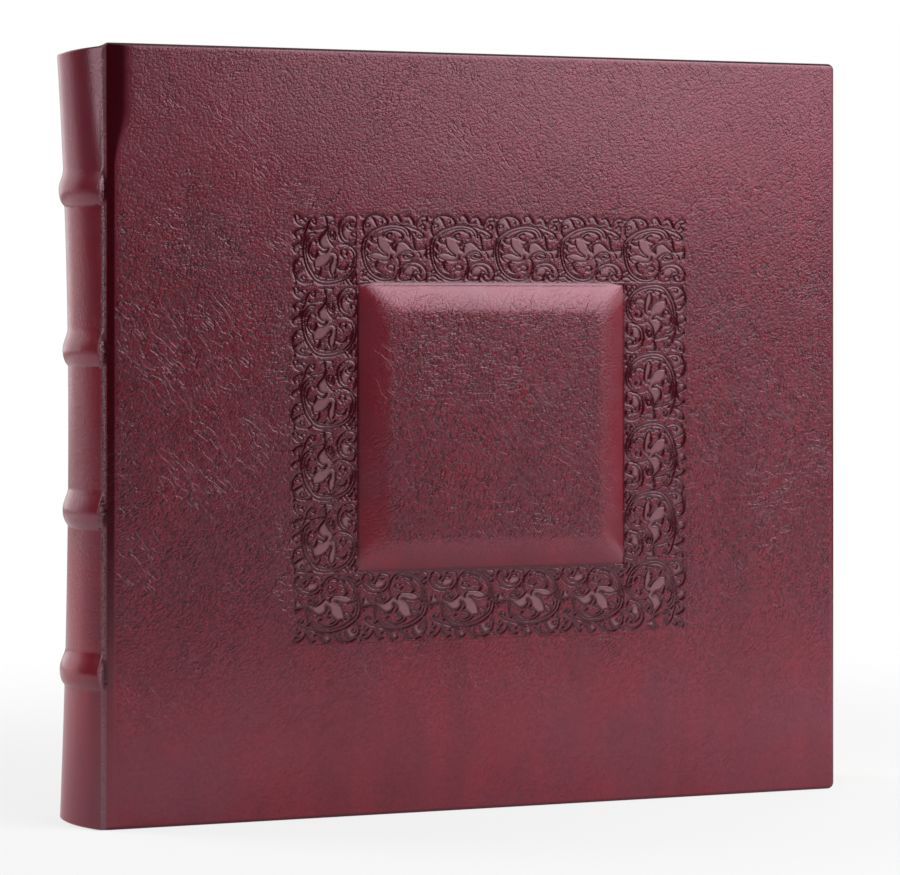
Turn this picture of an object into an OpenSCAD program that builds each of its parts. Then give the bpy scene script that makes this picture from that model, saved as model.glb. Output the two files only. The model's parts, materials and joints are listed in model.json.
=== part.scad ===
// Leather photo album with raised bands on a rounded spine and a padded square panel.
// The album stands upright: X runs from the spine to the fore edge, Y from the front
// cover to the back cover, Z up. The origin is under the middle of the closed album.

/* [Covers] */
// Width of a cover, from the joint at the spine to the fore edge
cover_width = 350; // [290:5:420]
// Height of a cover, which is the height of the album
cover_height = 340; // [290:5:420]
// Thickness of the stiff board inside a cover
board_thickness = 3.2; // [2:0.2:5]
// Thickness of the leather
leather_thickness = 1; // [0.8:0.1:1.6]
// Radius of a cover's corners, seen from the front
corner_radius = 3; // [2:0.5:8]
// Radius of the leather over the outer edges of a board
edge_radius = 1.8; // [1:0.1:2.4]
// Width of the leather turned in over the inside of a board
turn_in_width = 16; // [10:1:25]
// Thickness of the turned-in leather, pared thin, and of the card that levels it
turn_in_thickness = 0.5; // [0.3:0.1:0.8]
// Thickness of the paper pasted over the inside of a cover
pastedown_thickness = 0.3; // [0.2:0.1:0.5]
// Bare turn-in left showing round the pastedown
pastedown_margin = 5; // [3:0.5:9]
// Thickness of the leather wall along the joint edge of a board
joint_wall = 1.5; // [1:0.1:2]

/* [Raised panel and stamped border] */
// Length of one stamp along the border
stamp_length = 31.7; // [26:0.1:36]
// Width of one stamp across the border
stamp_width = 29.8; // [22:0.1:34]
// Depth of the stamped lines
stamp_depth = 0.35; // [0.2:0.05:0.5]
// Width of the stamped lines
stamp_line = 0.8; // [0.5:0.1:1.2]
// Height of the padded panel above the cover
panel_rise = 3.6; // [2:0.2:6]
// Width of the slope round the padded panel
panel_slope = 12; // [6:0.5:20]
// How far the panel sits towards the fore edge from the middle of the cover
panel_shift = 3.5; // [0:0.5:8]
// How far the panel sits above the middle of the cover
panel_lift = 2.5; // [0:0.5:8]

/* [Spine] */
// How far the rounded spine stands out behind the joints
spine_bulge = 11; // [7:0.5:15]
// How far the leather at the head of the spine lies below the covers
head_drop = 1.5; // [0:0.5:4]
// Number of raised bands
band_count = 4; // [2:1:6]
// Height of a band above the spine
band_rise = 2.3; // [1.5:0.1:4]
// Width of a band at its foot
band_width = 15; // [10:0.5:18]
// Distance from the head or tail to the nearest band
end_panel = 65; // [45:1:80]
// How far the bands sit above an even spacing along the spine
band_lift = 3; // [0:0.5:6]
// Thickness of the card that stiffens the spine
stiffener_thickness = 0.8; // [0.5:0.1:1.5]
// Inner height of the paper tube between the stiffener and the leaves
tube_hollow = 1.2; // [0.6:0.1:2.5]
// Wall of the paper tube
tube_wall = 0.3; // [0.2:0.1:0.5]
// Thickness of the gauze lining glued over the backs of the leaves
lining_thickness = 0.5; // [0.3:0.1:0.8]
// Thickness of the linen tapes under the lining
tape_thickness = 0.5; // [0.3:0.1:0.8]
// Width of a linen tape
tape_width = 18; // [10:1:25]
// Radius of the woven bead of the headband and tailband
bead_radius = 1.6; // [1:0.1:1.7]

/* [Leaves] */
// Number of leaves, an even number
leaf_count = 24; // [16:2:30]
// Thickness of a leaf
leaf_thickness = 0.5; // [0.3:0.1:0.6]
// Thickness of the guard strip between two leaves
guard_thickness = 1.15; // [1.1:0.05:1.6]
// Thickness of a flyleaf
flyleaf_thickness = 0.35; // [0.2:0.05:0.5]
// Width of the guards in the middle of the book, from the joint to the crease
guard_width = 17; // [15:1:24]
// How much narrower the outermost guards are
guard_curve = 7; // [6:0.5:8]
// Overhang of the covers past the leaves at head, tail and fore edge
cover_square = 4; // [3.5:0.5:7]
// Radius of the leaves' outer corners
leaf_corner = 3; // [1:0.5:8]
// Number of sewing cords through the guards
cord_count = 5; // [3:1:7]
// Radius of a sewing cord
cord_radius = 0.8; // [0.5:0.1:1]
// Distance of the outermost cords from the ends of the leaves
cord_inset = 26; // [15:1:40]
// Distance of the cords from the joints
cord_setback = 5; // [4:0.5:6]

/* [Clearances] */
// Paste line between glued pieces
glue_gap = 0.1; // [0.05:0.05:0.2]
// Gap between a closed cover and the flyleaf
cover_gap = 0.5; // [0.3:0.1:1]
// Bare crease between a bound stub and its turning leaf
crease_gap = 0.4; // [0.3:0.1:0.6]
// Gap between the spine leather and a cover at the joint
joint_gap = 0.3; // [0.2:0.1:0.6]
// Clearance round a sewing cord in its hole
cord_clearance = 0.05; // [0.02:0.01:0.1]

/* [Hidden] */
$fn = 72;
stamps_per_side = 5;
leaf_pitch = leaf_thickness + guard_thickness;
cover_thickness = leather_thickness + board_thickness + turn_in_thickness + pastedown_thickness;
block_thickness = leaf_count * leaf_pitch;
block_front = cover_thickness + cover_gap + flyleaf_thickness + glue_gap;
album_thickness = 2 * block_front + block_thickness;
half_thickness = album_thickness / 2;

// The border is four runs of stamps set pinwheel fashion round the square panel
border_outer = stamps_per_side * stamp_length + stamp_width;
panel_base = stamps_per_side * stamp_length - stamp_width;
panel_x = cover_width / 2 + panel_shift;
panel_z = cover_height / 2 + panel_lift;
pad_base = panel_base - 2 * leather_thickness;

// The spine is an arc round an axis inside the book, through both joints
spine_radius = (pow(half_thickness, 2) + pow(spine_bulge, 2)) / (2 * spine_bulge);
axis_x = spine_radius - spine_bulge;
leather_inner = spine_radius - leather_thickness;
stiffener_outer = leather_inner - glue_gap;
stiffener_inner = stiffener_outer - stiffener_thickness;
tube_outer = stiffener_inner - glue_gap;
tube_inner = tube_outer - 2 * tube_wall - tube_hollow;
lining_outer = tube_inner - glue_gap;
lining_inner = lining_outer - lining_thickness;
tape_outer = lining_inner - glue_gap;
tape_inner = tape_outer - tape_thickness;
block_radius = tape_inner - glue_gap;

block_bottom = cover_square;
block_top = cover_height - cover_square;
spine_top = cover_height - head_drop;
stiffener_inset = 4;
tube_inset = 12;
flap_height = 12;
band_pitch = (cover_height - 2 * end_panel) / (band_count - 1);
band_heights = [for (i = [0 : band_count - 1]) end_panel + band_lift + i * band_pitch];
cord_pitch = (block_top - block_bottom - 2 * cord_inset) / (cord_count - 1);
cord_heights = [for (i = [0 : cord_count - 1]) block_bottom + cord_inset + i * cord_pitch];

// Half angles at which the layers of the spine stop, short of the covers
function stop_angle(radius) = acos((axis_x + joint_gap) / radius);
leather_angle = stop_angle(leather_inner);
stiffener_angle = stop_angle(stiffener_inner);
band_angle = stiffener_angle - 4;
band_play = 0.15;
band_edge = 1.5;
function layer_angle(radius) = asin((block_thickness / 2 - 1) / radius);

// Swell of a band at a height above or below its middle, for a band of half width half
function band_swell(height, half) = band_rise * (0.5 + 0.5 * cos(180 * height / half));

// Furthest reach of the leather behind the joints, over the bands
spine_reach = spine_bulge + band_rise;
joint_x = (spine_reach - cover_width) / 2;
front_y = (panel_rise - album_thickness) / 2;

// The middle plane of leaf i, counted from 1, and how far its guard reaches from the joint
function leaf_y(i) = block_front + (i - 0.5) * leaf_pitch;
function guard_reach(y) = guard_width - guard_curve * pow(abs(2 * y - album_thickness) / block_thickness, 4);
function block_back(y) = axis_x - sqrt(pow(block_radius, 2) - pow(y - half_thickness, 2));
function flyleaf_y(side) = side < 0 ? block_front - glue_gap - flyleaf_thickness / 2
                                    : album_thickness - block_front + glue_gap + flyleaf_thickness / 2;

// Hinge lines, as X and Y: the covers turn at the joints, and each sheet at the edge of its
// guard, on the face that folds back
hinge_setback = 0.15;
hinge_depth = 0.1;
function sheet_hinge(y, thickness) =
    [joint_x + guard_reach(y), front_y + y + sign(y - half_thickness) * thickness / 2];
echo(front_cover_hinge = [joint_x - hinge_setback, front_y + hinge_depth]);
echo(back_cover_hinge = [joint_x - hinge_setback, front_y + album_thickness - hinge_depth]);
echo(flyleaf_hinges = [for (side = [-1, 1]) sheet_hinge(flyleaf_y(side), flyleaf_thickness)]);
echo(leaf_hinges = [for (i = [1 : leaf_count]) sheet_hinge(leaf_y(i), leaf_thickness)]);

function two_digits(i) = i < 10 ? str("0", i) : str(i);
leaf_names = [for (i = [1 : leaf_count]) str("leaf_", two_digits(i))];
band_names = [for (i = [1 : band_count]) str("raised_band_", i)];

// Colours
burgundy = [0.38, 0.13, 0.16];
grey_board = [0.52, 0.49, 0.45];
ivory = [0.93, 0.89, 0.8];
manila = [0.85, 0.78, 0.64];
endpaper = [0.62, 0.45, 0.4];
linen = [0.8, 0.75, 0.65];
silk = [0.68, 0.2, 0.2];

// Children are drawn from the front joint, at the height of the floor
module from_joint() {
    translate([joint_x, front_y, 0]) children();
}

// The back cover is the mirror image of a plain front cover
module from_back_joint() {
    translate([joint_x, front_y + album_thickness, 0]) mirror([0, 1, 0]) children();
}

// A flat shape drawn in X and Z, thick from depth a to depth b in Y
module slab(a, b) {
    translate([0, b, 0]) rotate([90, 0, 0]) linear_extrude(b - a) children();
}

// A rectangle whose outer corners, at y = 0, and inner corners have their own radii
module soft_rectangle(width, height, outer, inner) {
    difference() {
        square([width, height]);
        for (side = [0, 1]) {
            translate([side * width, 0]) mirror([side, 0]) corner_waste(outer);
            translate([side * width, height]) mirror([side, 0]) mirror([0, 1]) corner_waste(inner);
        }
    }
}

// What is cut away to round the corner at the origin
module corner_waste(radius) {
    difference() {
        translate([-1, -1]) square(radius + 1);
        translate([radius, radius]) circle(radius);
    }
}

// A plate with all its outer edges rounded: three extrusions that meet
module soft_plate(width, height, thickness) {
    inner_edge = 0.4;
    intersection() {
        slab(0, thickness) soft_rectangle(width, height, corner_radius, corner_radius);
        linear_extrude(height) soft_rectangle(width, thickness, edge_radius, inner_edge);
        rotate([0, 90, 0]) linear_extrude(width)
            translate([-height, 0]) soft_rectangle(height, thickness, edge_radius, inner_edge);
    }
}

// Section of the padded panel: a quarter wave up from each side
function pillow_section(base, rise, slope, floor_depth) = concat(
    [[-base / 2, floor_depth]],
    [for (t = [0 : 0.125 : 1]) [-base / 2 + slope * t, -rise * sin(90 * t)]],
    [for (t = [1 : -0.125 : 0]) [base / 2 - slope * t, -rise * sin(90 * t)]],
    [[base / 2, floor_depth]]);

// A square pillow with mitred slopes, from floor_depth inside to its rise outside
module pillow(base, rise, slope, floor_depth) {
    section = pillow_section(base, rise, slope, floor_depth);
    translate([panel_x, 0, panel_z]) intersection() {
        linear_extrude(base, center = true) polygon(section);
        rotate([0, 90, 0]) linear_extrude(base, center = true) polygon(section);
    }
}

// The lines of one stamp: a large scroll with a leaf eye, and two volutes
module stamp_lines() {
    large = stamp_width * 0.38;
    small = stamp_width * 0.16;
    difference() {
        ring(large);
        translate([large * 0.55, large * 0.1]) square([large, large * 0.7]);
    }
    ring(large * 0.42);
    translate([large * 1.02, -large * 0.95]) ring(small);
    translate([-large * 0.95, large * 0.98]) ring(small);
}

module ring(radius) {
    difference() {
        circle(radius, $fn = 36);
        circle(radius - stamp_line, $fn = 36);
    }
}

// Four runs of stamps round the panel, each turned a quarter from the last
module stamped_border() {
    translate([panel_x, 0, panel_z]) for (side = [0 : 3]) rotate([0, side * 90, 0])
        for (i = [0 : stamps_per_side - 1])
            translate([border_outer / 2 - (i + 0.5) * stamp_length, 0, (border_outer - stamp_width) / 2])
                slab(-1, stamp_depth) stamp_lines();
}

// Leather over a cover: outer face, edges and turn-ins, hollow for the board
module cover_skin(padded) {
    skin = leather_thickness;
    inside = skin + board_thickness;
    difference() {
        union() {
            soft_plate(cover_width, cover_height, inside + turn_in_thickness);
            if (padded) pillow(panel_base, panel_rise, panel_slope, skin / 2);
        }
        translate([joint_wall, skin, skin])
            cube([cover_width - joint_wall - skin, board_thickness, cover_height - 2 * skin]);
        translate([joint_wall, inside - 1, turn_in_width])
            cube([cover_width - joint_wall - turn_in_width, turn_in_thickness + 2,
                  cover_height - 2 * turn_in_width]);
        if (padded) {
            translate([0, skin, 0]) pillow(pad_base, panel_rise, panel_slope, 1);
            stamped_border();
        }
    }
}

module front_leather() {
    color(burgundy) from_joint() cover_skin(true);
}

module back_leather() {
    color(burgundy) from_back_joint() cover_skin(false);
}

module cover_board() {
    skin = leather_thickness + glue_gap / 2;
    translate([joint_wall + glue_gap / 2, leather_thickness + glue_gap / 2, skin])
        cube([cover_width - joint_wall - leather_thickness - glue_gap, board_thickness - glue_gap,
              cover_height - 2 * skin]);
}

module front_board() {
    color(grey_board) from_joint() cover_board();
}

module back_board() {
    color(grey_board) from_back_joint() cover_board();
}

// The pad lies on the board, under the leather of the panel
module panel_pad() {
    color(manila) from_joint() translate([0, leather_thickness, 0])
        pillow(pad_base - 2 * glue_gap, panel_rise - glue_gap, panel_slope, 0);
}

// Card that fills the inside of a cover level with the turn-ins
module cover_infill() {
    inside = leather_thickness + board_thickness;
    translate([joint_wall + glue_gap, inside, turn_in_width + glue_gap])
        cube([cover_width - joint_wall - turn_in_width - 2 * glue_gap, turn_in_thickness,
              cover_height - 2 * turn_in_width - 2 * glue_gap]);
}

module front_infill() {
    color(manila) from_joint() cover_infill();
}

module back_infill() {
    color(manila) from_back_joint() cover_infill();
}

module cover_pastedown() {
    inside = leather_thickness + board_thickness + turn_in_thickness;
    translate([joint_wall, inside, pastedown_margin])
        cube([cover_width - joint_wall - pastedown_margin, pastedown_thickness,
              cover_height - 2 * pastedown_margin]);
}

module front_pastedown() {
    color(endpaper) from_joint() cover_pastedown();
}

module back_pastedown() {
    color(endpaper) from_back_joint() cover_pastedown();
}

// A section in radius and height, swept round the spine's axis to a half angle
module spine_arc(half_angle) {
    from_joint() translate([axis_x, half_thickness, 0]) rotate([0, 0, 180 - half_angle])
        rotate_extrude(angle = 2 * half_angle) children();
}

// Section of a layer between two radii
module layer(inner, outer, bottom, top) {
    translate([inner, bottom]) square([outer - inner, top - bottom]);
}

// Section of a band of half width half, from radius foot to a swell over radius base that
// dies away at its own half width, swell_half
module band_section(centre, half, swell_half, foot, base) {
    polygon(concat(
        [[foot, centre - half]],
        [for (i = [-6 : 6]) [base + band_swell(half * i / 6, swell_half), centre + half * i / 6]],
        [[foot, centre + half]]));
}

// Leather over the rounded spine, moulded over the bands
module spine_leather() {
    tuck = asin(leather_thickness / spine_radius);
    swell_half = band_width / 2 + leather_thickness;
    color(burgundy) difference() {
        union() {
            spine_arc(leather_angle) layer(leather_inner, spine_radius, 0, spine_top);
            for (z = band_heights) spine_arc(band_angle + tuck)
                band_section(z, swell_half, swell_half, leather_inner + leather_thickness / 2, spine_radius);
        }
        for (z = band_heights) spine_arc(band_angle + band_play)
            band_section(z, band_width / 2, band_width / 2, stiffener_outer, leather_inner);
    }
}

module spine_stiffener() {
    color(grey_board) spine_arc(stiffener_angle)
        layer(stiffener_inner, stiffener_outer, stiffener_inset, spine_top - stiffener_inset);
}

// One band, glued to the stiffener under the leather
module raised_band(i) {
    color(manila) spine_arc(band_angle)
        band_section(band_heights[i], band_width / 2 - band_edge, band_width / 2,
                     stiffener_outer + glue_gap / 2, leather_inner - glue_gap);
}

// Flattened paper tube that lets the spine spring away from the leaves
module hollow_tube() {
    bottom = tube_inset;
    top = cover_height - tube_inset;
    angle = layer_angle(tube_inner);
    wall_angle = asin(tube_wall / tube_outer);
    color(manila) difference() {
        spine_arc(angle) layer(tube_inner, tube_outer, bottom, top);
        spine_arc(angle - wall_angle)
            layer(tube_inner + tube_wall, tube_outer - tube_wall, bottom - 1, top + 1);
    }
}

module spine_lining() {
    color(linen) spine_arc(layer_angle(lining_inner))
        layer(lining_inner, lining_outer, tube_inset, cover_height - tube_inset);
}

module sewing_tapes() {
    color(linen) for (z = band_heights) spine_arc(layer_angle(tape_inner))
        layer(tape_inner, tape_outer, z - tape_width / 2, z + tape_width / 2);
}

// Woven band: a bead that stands on the leaves, with a flap down the back of them
module woven_band() {
    bead_height = block_top + glue_gap + bead_radius;
    angle = layer_angle(block_radius);
    color(silk) {
        spine_arc(angle) union() {
            translate([block_radius, bead_height]) circle(bead_radius, $fn = 36);
            layer(block_radius + glue_gap, block_radius + glue_gap + tape_thickness,
                         block_top - flap_height, bead_height);
        }
    }
}

module headband() {
    woven_band();
}

module tailband() {
    translate([0, 0, cover_height]) mirror([0, 0, 1]) woven_band();
}

// Round holes for the sewing cords, along Y
module cord_holes(radius) {
    for (z = cord_heights) translate([cord_setback, 0, z]) rotate([-90, 0, 0])
        cylinder(r = radius, h = album_thickness);
}

// One strip at the back of the book, between the two depths, as long as the leaves are high
module back_strip(front, back) {
    middle = (front + back) / 2;
    outer = abs(front - half_thickness) > abs(back - half_thickness) ? front : back;
    start = block_back(outer);
    translate([start, front, block_bottom])
        cube([guard_reach(middle) - crease_gap / 2 - start, back - front, block_top - block_bottom]);
}

// The bound edge of every leaf and flyleaf, inside the guards
module bound_stubs() {
    color(ivory) from_joint() {
        difference() {
            for (i = [1 : leaf_count])
                back_strip(leaf_y(i) - leaf_thickness / 2, leaf_y(i) + leaf_thickness / 2);
            cord_holes(cord_radius + cord_clearance);
        }
        for (side = [-1, 1])
            back_strip(flyleaf_y(side) - flyleaf_thickness / 2, flyleaf_y(side) + flyleaf_thickness / 2);
    }
}

// Strips that keep the leaves apart at the back, to leave room for the pictures
module guard_strips() {
    color(manila) from_joint() difference() {
        for (i = [0 : leaf_count]) {
            front = i == 0 ? block_front : leaf_y(i) + leaf_thickness / 2;
            back = i == leaf_count ? album_thickness - block_front : leaf_y(i + 1) - leaf_thickness / 2;
            back_strip(front, back);
        }
        cord_holes(cord_radius + cord_clearance);
    }
}

// Cords sewn through stubs and guards
module sewing_cords() {
    color(linen) from_joint() for (z = cord_heights)
        translate([cord_setback, block_front, z]) rotate([-90, 0, 0])
            cylinder(r = cord_radius, h = block_thickness);
}

// A sheet that turns at the edge of its guard, with round outer corners
module turning_sheet(y, thickness) {
    start = guard_reach(y) + crease_gap / 2;
    length = cover_width - cover_square - start;
    height = block_top - block_bottom;
    from_joint() translate([start, 0, block_bottom]) slab(y - thickness / 2, y + thickness / 2)
        difference() {
            square([length, height]);
            translate([length, 0]) mirror([1, 0]) corner_waste(leaf_corner);
            translate([length, height]) mirror([1, 0]) mirror([0, 1]) corner_waste(leaf_corner);
        }
}

module leaf(i) {
    color(ivory) turning_sheet(leaf_y(i), leaf_thickness);
}

module front_flyleaf() {
    color(endpaper) turning_sheet(flyleaf_y(-1), flyleaf_thickness);
}

module back_flyleaf() {
    color(endpaper) turning_sheet(flyleaf_y(1), flyleaf_thickness);
}

front_leather();
front_board();
panel_pad();
front_infill();
front_pastedown();
back_leather();
back_board();
back_infill();
back_pastedown();
spine_leather();
spine_stiffener();
hollow_tube();
spine_lining();
sewing_tapes();
sewing_cords();
headband();
tailband();
bound_stubs();
guard_strips();
front_flyleaf();
back_flyleaf();
for (i = [0 : band_count - 1])
    raised_band(i);
for (i = [1 : leaf_count])
    leaf(i);
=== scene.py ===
import json
import math

import bmesh
import bpy
import numpy as np
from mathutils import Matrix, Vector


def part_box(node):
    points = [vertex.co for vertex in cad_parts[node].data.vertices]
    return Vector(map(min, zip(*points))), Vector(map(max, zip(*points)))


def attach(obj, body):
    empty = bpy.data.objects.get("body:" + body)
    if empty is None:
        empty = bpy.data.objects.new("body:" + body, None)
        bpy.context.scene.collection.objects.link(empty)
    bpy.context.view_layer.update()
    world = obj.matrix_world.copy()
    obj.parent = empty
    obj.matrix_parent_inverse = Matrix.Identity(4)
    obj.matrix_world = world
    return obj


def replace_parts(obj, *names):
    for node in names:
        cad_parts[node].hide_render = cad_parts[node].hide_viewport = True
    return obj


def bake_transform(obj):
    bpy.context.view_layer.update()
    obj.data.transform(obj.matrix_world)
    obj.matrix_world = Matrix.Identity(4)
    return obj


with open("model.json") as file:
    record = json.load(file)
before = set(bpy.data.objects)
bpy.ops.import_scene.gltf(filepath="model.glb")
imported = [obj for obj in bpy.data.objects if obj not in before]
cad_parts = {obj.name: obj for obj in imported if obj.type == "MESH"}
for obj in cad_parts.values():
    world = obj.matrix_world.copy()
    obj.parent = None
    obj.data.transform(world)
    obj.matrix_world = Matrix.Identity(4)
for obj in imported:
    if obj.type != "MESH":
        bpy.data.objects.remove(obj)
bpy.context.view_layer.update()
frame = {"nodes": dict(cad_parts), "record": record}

# The album's main lines. The boards, the sewn book and the spine are solids of the frame, and
# everything below is placed from their boxes. The camera stood in front of the spine, a
# little above the middle, and saw the cover turned by 20 degrees.
mm = 0.001
cover_low, cover_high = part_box("front_leather")
_, back_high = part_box("back_leather")
spine_low, spine_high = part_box("spine_leather")
panel_rise = 3.6 * mm
joint_x, fore_x, head_z = cover_low[0], cover_high[0], cover_high[2]
front_y, back_y = cover_low[1] + panel_rise, back_high[1]
thickness = back_y - front_y
cover_depth = 4.7 * mm
cover_turn = math.radians(19.89)
right = np.array([math.cos(cover_turn), -math.sin(cover_turn), 0])
away = np.array([math.sin(cover_turn), math.cos(cover_turn), 0])

corner_left, eye_height, corner_away = -148.7 * mm, 224.0 * mm, 1342.0 * mm
eye = np.array([joint_x, front_y, eye_height]) - corner_left * right - corner_away * away
camera = bpy.data.objects.new("camera", bpy.data.cameras.new("camera"))
camera.location = eye
camera.rotation_euler = (math.pi / 2, 0, -cover_turn)
camera.data.sensor_width = 36
camera.data.lens = 124.6
camera.data.shift_y = -0.14044
bpy.context.scene.collection.objects.link(camera)
bpy.context.scene.camera = camera
bpy.context.scene.view_settings.view_transform = "Standard"


# The studio: soft boxes over a white floor, painted into the world as smooth spots, with
# dark stretches between them that the polished leather mirrors beside the joint.
class Wire:
    """A socket that carries a number: sums and products of wires add Math nodes."""

    def __init__(self, tree, socket):
        self.tree, self.socket = tree, socket

    def math(self, operation, *others):
        values = dict(enumerate((self,) + others))
        return self.tree.node("ShaderNodeMath", {"operation": operation}, values)

    def __add__(self, other):
        return self.math("ADD", other)

    def __sub__(self, other):
        return self.math("SUBTRACT", other)

    def __mul__(self, other):
        return self.math("MULTIPLY", other)

    def __truediv__(self, other):
        return self.math("DIVIDE", other)

    def __rsub__(self, other):
        return self.math("MULTIPLY_ADD", -1, other)

    __radd__, __rmul__ = __add__, __mul__

    def most(self, other):
        return self.math("MAXIMUM", other)

    def ramp(self, low, high, bottom=0.0, top=1.0):
        """A smooth step from bottom at low to top at high."""
        values = {0: self, 1: low, 2: high, 3: bottom, 4: top}
        return self.tree.node("ShaderNodeMapRange", {"interpolation_type": "SMOOTHSTEP"}, values)


class Tree:
    """A node tree: node() adds a node with its settings and socket values, and returns a wire."""

    def __init__(self, owner):
        self.owner = owner
        owner.use_nodes = True
        self.nodes, self.links = owner.node_tree.nodes, owner.node_tree.links
        self.nodes.clear()

    def node(self, kind, settings=None, values=None, output=0):
        made = self.nodes.new(kind)
        for name, value in (settings or {}).items():
            setattr(made, name, value)
        for key, value in (values or {}).items():
            if isinstance(value, Wire):
                self.links.new(value.socket, made.inputs[key])
            else:
                made.inputs[key].default_value = value
        return Wire(self, made.outputs[output])

    def ray(self, kind):
        """1 for a ray of one kind, by the number of the Light Path node's output."""
        return self.node("ShaderNodeLightPath", output=kind)

    def mark(self, name):
        """A number that the mesh carries at each of its points."""
        return self.node("ShaderNodeAttribute", {"attribute_name": name}, {}, 2)

    def mix(self, factor, first, second):
        """Mix of two colours."""
        return self.node("ShaderNodeMix", {"data_type": "RGBA"}, {0: factor, 6: first, 7: second}, 2)

    def blend(self, factor, first, second):
        """Mix of two surfaces."""
        return self.node("ShaderNodeMixShader", {}, {0: factor, 1: first, 2: second})

    def vector(self, operation, *values, output=0):
        """A vector operation. Its output 1 is the number of a dot product or a length."""
        return self.node("ShaderNodeVectorMath", {"operation": operation}, dict(enumerate(values)), output)

    def part(self, point, axis):
        """One coordinate of a point."""
        return self.node("ShaderNodeSeparateXYZ", {}, {0: point}, axis)

    def spread(self, point, scale):
        """A point stretched by a scale along each axis."""
        return self.vector("MULTIPLY", point, scale)

    def turned(self, point, lean):
        """A point turned about the Y axis."""
        return self.node("ShaderNodeMapping", {}, {"Vector": point, "Rotation": (0, lean, 0)})

    def noise(self, point, size, detail=2.0, rough=0.5, bend=0.0):
        """Cloudy noise with features of the given size."""
        values = {"Vector": point, "Scale": 1 / size, "Detail": detail, "Roughness": rough,
                  "Distortion": bend}
        return self.node("ShaderNodeTexNoise", {}, values)

    def bent(self, point, size, reach):
        """A point shifted by up to about half the reach, by three noises of the given size."""
        cloud = self.node("ShaderNodeTexNoise", {}, {"Vector": point, "Scale": 1 / size, "Detail": 2.0}, 1)
        cloud = self.vector("SUBTRACT", cloud, (0.5, 0.5, 0.5))
        return self.vector("MULTIPLY_ADD", cloud, (reach, reach, reach), point)

    def end(self, shader, kind="ShaderNodeOutputMaterial"):
        """Links the shader to the output and returns the finished material or world."""
        out = self.nodes.new(kind)
        self.links.new(shader.socket, out.inputs[0])
        return self.owner

    def surface(self, colour, roughness, height, more):
        """Ends with one bumped surface; the height is in millimetres."""
        bump = self.node("ShaderNodeBump", {}, {"Strength": 1, "Distance": mm, "Height": height})
        values = {"Base Color": colour, "Roughness": roughness, "Normal": bump}
        return self.end(self.node("ShaderNodeBsdfPrincipled", {}, {**values, **more}))


camera_ray, glossy_ray, transmission_ray = 0, 3, 6
sky = Tree(bpy.data.worlds.new("studio"))
gaze = sky.node("ShaderNodeTexCoord")
side_part = sky.vector("DOT_PRODUCT", gaze, tuple(right), output=1)
near_part = sky.vector("DOT_PRODUCT", gaze, tuple(-away), output=1)
turn = side_part.math("ARCTAN2", near_part) * (180 / math.pi)
height = sky.part(gaze, 2).math("ARCSINE") * (180 / math.pi)
soft_boxes = [  # degrees to the right of the camera, degrees above level, soft edges, strength
    ((42, 98), (18, 48), (14, 8), 2.6),
    ((49, 98), (2, 16), (18, 4), 1.7),
    ((28, 64), (30, 60), (12, 12), 0.8),
    ((-80, 110), (66, 120), (16, 16), 1.2),
    ((-158, -100), (-12, 50), (24, 9), 1.15),
    ((-215, -132), (-12, 50), (30, 9), 0.45),
    ((112, 200), (-5, 55), (20, 20), 1.2),
    ((-52, -29), (-14, 26), (6, 8), 3.2),
    ((-66, -16), (30, 62), (12, 12), 1.7),
]
glow = 0.02
for (first, last), (low, high), (side_edge, flat_edge), strength in soft_boxes:
    across = (turn.ramp(first - side_edge / 2, first + side_edge / 2)
              * turn.ramp(last + side_edge / 2, last - side_edge / 2))
    up = (height.ramp(low - flat_edge / 2, low + flat_edge / 2)
          * height.ramp(high + flat_edge / 2, high - flat_edge / 2))
    glow = across * up * strength + glow
shown = sky.ray(camera_ray).most(sky.ray(transmission_ray))
glow = glow.most(sky.ray(glossy_ray) * near_part.ramp(-0.55, -0.8) * 0.45)
lamp_light = sky.node("ShaderNodeBackground", {}, {"Color": (1, 1, 1, 1), "Strength": glow})
white_card = sky.node("ShaderNodeBackground", {}, {"Color": (1, 1, 1, 1), "Strength": 1})
bpy.context.scene.world = sky.end(sky.blend(shown, lamp_light, white_card), "ShaderNodeOutputWorld")


def lamp(name, to_right, further, high, size, power, mirrored=False):
    """A broad round lamp aimed at the album's middle; the fill lamps light it but aren't mirrored."""
    light = bpy.data.objects.new(name, bpy.data.lights.new(name, "AREA"))
    light.data.shape, light.data.size, light.data.energy = "DISK", size, power
    light.location = to_right * right + further * away + np.array([0, 0, high])
    aim = np.array([0, front_y, 0.16]) - np.array(light.location)
    light.rotation_euler = (math.atan2(math.hypot(aim[0], aim[1]), -aim[2]), 0, math.atan2(-aim[0], aim[1]))
    light.visible_glossy = mirrored
    bpy.context.scene.collection.objects.link(light)


lamp("upper_key", 0.56, -0.52, 0.62, 0.7, 3.3, True)
lamp("right_fill", 0.8, -0.3, 0.36, 0.5, 8.8)
lamp("left_fill", -1.55, 0.44, 0.4, 0.9, 46.0)


def new_object(name, mesh):
    """An object at the origin that shows a mesh."""
    made = bpy.data.objects.new(name, mesh)
    bpy.context.scene.collection.objects.link(made)
    return made


def material(name):
    """A new material's tree and its surface point in millimetres."""
    tree = Tree(bpy.data.materials.new(name))
    return tree, tree.spread(tree.node("ShaderNodeTexCoord", {}, {}, 3), (1 / mm, 1 / mm, 1 / mm))


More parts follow.
